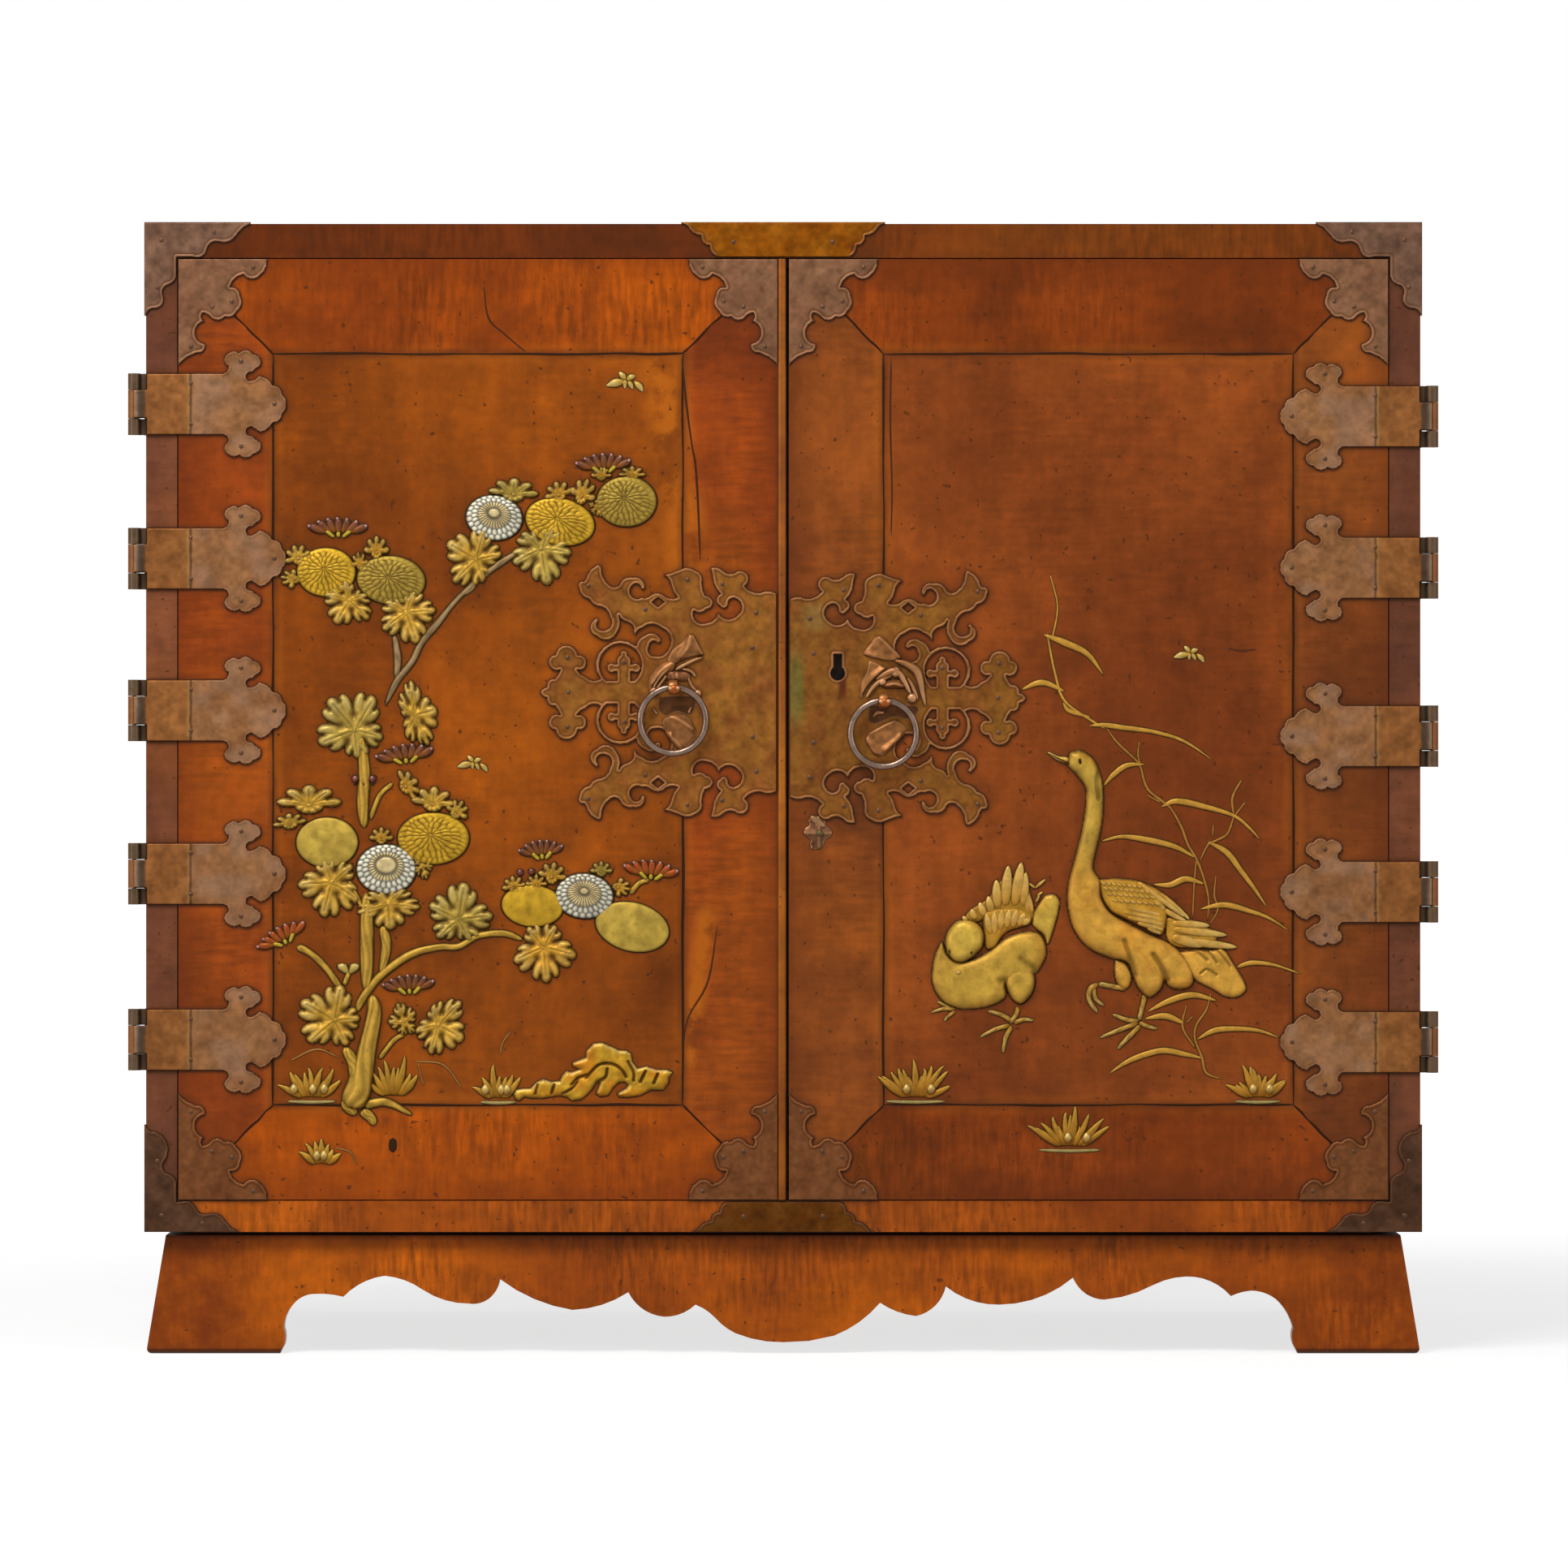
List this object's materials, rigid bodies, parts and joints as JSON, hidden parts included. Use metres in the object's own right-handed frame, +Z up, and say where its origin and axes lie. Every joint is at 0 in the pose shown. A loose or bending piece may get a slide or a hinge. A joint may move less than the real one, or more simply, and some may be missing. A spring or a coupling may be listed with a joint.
{
  "type": "lacquer cabinet",
  "caption": "Two-door lacquered wood cabinet on a low splayed stand, with pierced copper lock plates, strap hinges, ring pulls and drawers inside.",
  "frame": {"origin": "middle of the underside of the whole cabinet, on the floor", "axes": "+Z up, the doors face -Y, +X to the right of someone facing the doors"},
  "size_m": [0.9258, 0.5164, 0.7992],
  "materials": {
    "lacquered_wood": "translucent red-brown lacquer over figured wood",
    "dark_wood": "thin dark lacquer on unpolished wood",
    "copper": "worn, hammered and engraved copper alloy",
    "dark_copper": "dark patinated copper alloy, rubbed bright on the edges",
    "dark_iron": "dull dark iron",
    "gold_relief": "raised lacquer dusted with gold, with some silver and red"
  },
  "bodies": {
    "root": {"carcase_top": "lacquered_wood", "carcase_bottom": "lacquered_wood", "carcase_left_side": "lacquered_wood", "carcase_right_side": "lacquered_wood", "carcase_back": "dark_wood", "door_stops": "dark_wood", "dust_boards": "dark_wood", "drawer_dividers": "dark_wood", "stand_front_apron": "lacquered_wood", "stand_back_rail": "dark_wood", "stand_left_end": "lacquered_wood", "stand_right_end": "lacquered_wood", "stand_corner_blocks": "dark_wood", "stand_top_rails": "dark_wood", "top_centre_mount": "copper", "bottom_centre_mount": "copper", "case_top_corner_mounts": "copper", "case_bottom_corner_mounts": "copper", "left_hinge_leaves": "copper", "right_hinge_leaves": "copper", "hinge_pins": "dark_iron", "case_nails": "copper", "drawer_1": "lacquered_wood", "drawer_2": "lacquered_wood", "drawer_3": "lacquered_wood", "drawer_4": "lacquered_wood", "drawer_5": "lacquered_wood", "drawer_6": "lacquered_wood", "drawer_7": "lacquered_wood", "drawer_8": "lacquered_wood", "drawer_9": "lacquered_wood", "drawer_10": "lacquered_wood", "drawer_pulls": "copper"},
    "left_door": {"left_door_stiles": "lacquered_wood", "left_door_rails": "lacquered_wood", "left_door_panel": "lacquered_wood", "left_door_bead": "lacquered_wood", "left_lock_plate": "copper", "left_ring_boss": "copper", "left_door_corner_mounts": "copper", "left_hinge_straps": "copper", "left_door_nails": "copper", "lock_strike": "dark_iron", "left_bolt_staples": "dark_iron"},
    "right_door": {"right_door_stiles": "lacquered_wood", "right_door_rails": "lacquered_wood", "right_door_panel": "lacquered_wood", "right_lock_plate": "copper", "right_ring_boss": "copper", "right_door_corner_mounts": "copper", "right_hinge_straps": "copper", "right_door_nails": "copper", "lock_case": "dark_iron", "right_door_rosette": "copper"},
    "left_ring": {"left_ring": "dark_copper"},
    "right_ring": {"right_ring": "dark_copper"},
    "lock_bolt": {"lock_bolt": "dark_iron"},
    "left_door_top_bolt": {"left_door_top_bolt": "dark_iron"},
    "left_door_bottom_bolt": {"left_door_bottom_bolt": "dark_iron"}
  },
  "joints": [
    {"name": "left_door_hinge", "type": "hinge", "parent": "root", "child": "left_door", "pos_m": [-0.4586, -0.2394, 0.442], "axis": [0, 0, -1], "range_deg": [0, 180]},
    {"name": "right_door_hinge", "type": "hinge", "parent": "root", "child": "right_door", "pos_m": [0.4586, -0.2394, 0.442], "axis": [0, 0, 1], "range_deg": [0, 180]},
    {"name": "left_ring_swing", "type": "hinge", "parent": "left_door", "child": "left_ring", "pos_m": [-0.0777, -0.2517, 0.4705], "axis": [-1, 0, 0], "range_deg": [0, 100]},
    {"name": "right_ring_swing", "type": "hinge", "parent": "right_door", "child": "right_ring", "pos_m": [0.0707, -0.2517, 0.4612], "axis": [-1, 0, 0], "range_deg": [0, 100]},
    {"name": "lock_bolt_throw", "type": "slide", "parent": "right_door", "child": "lock_bolt", "axis": [-1, 0, 0], "range_m": [0, 0.016]},
    {"name": "top_bolt_throw", "type": "slide", "parent": "left_door", "child": "left_door_top_bolt", "axis": [0, 0, 1], "range_m": [0, 0.01]},
    {"name": "bottom_bolt_throw", "type": "slide", "parent": "left_door", "child": "left_door_bottom_bolt", "axis": [0, 0, -1], "range_m": [0, 0.01]}
  ]
}
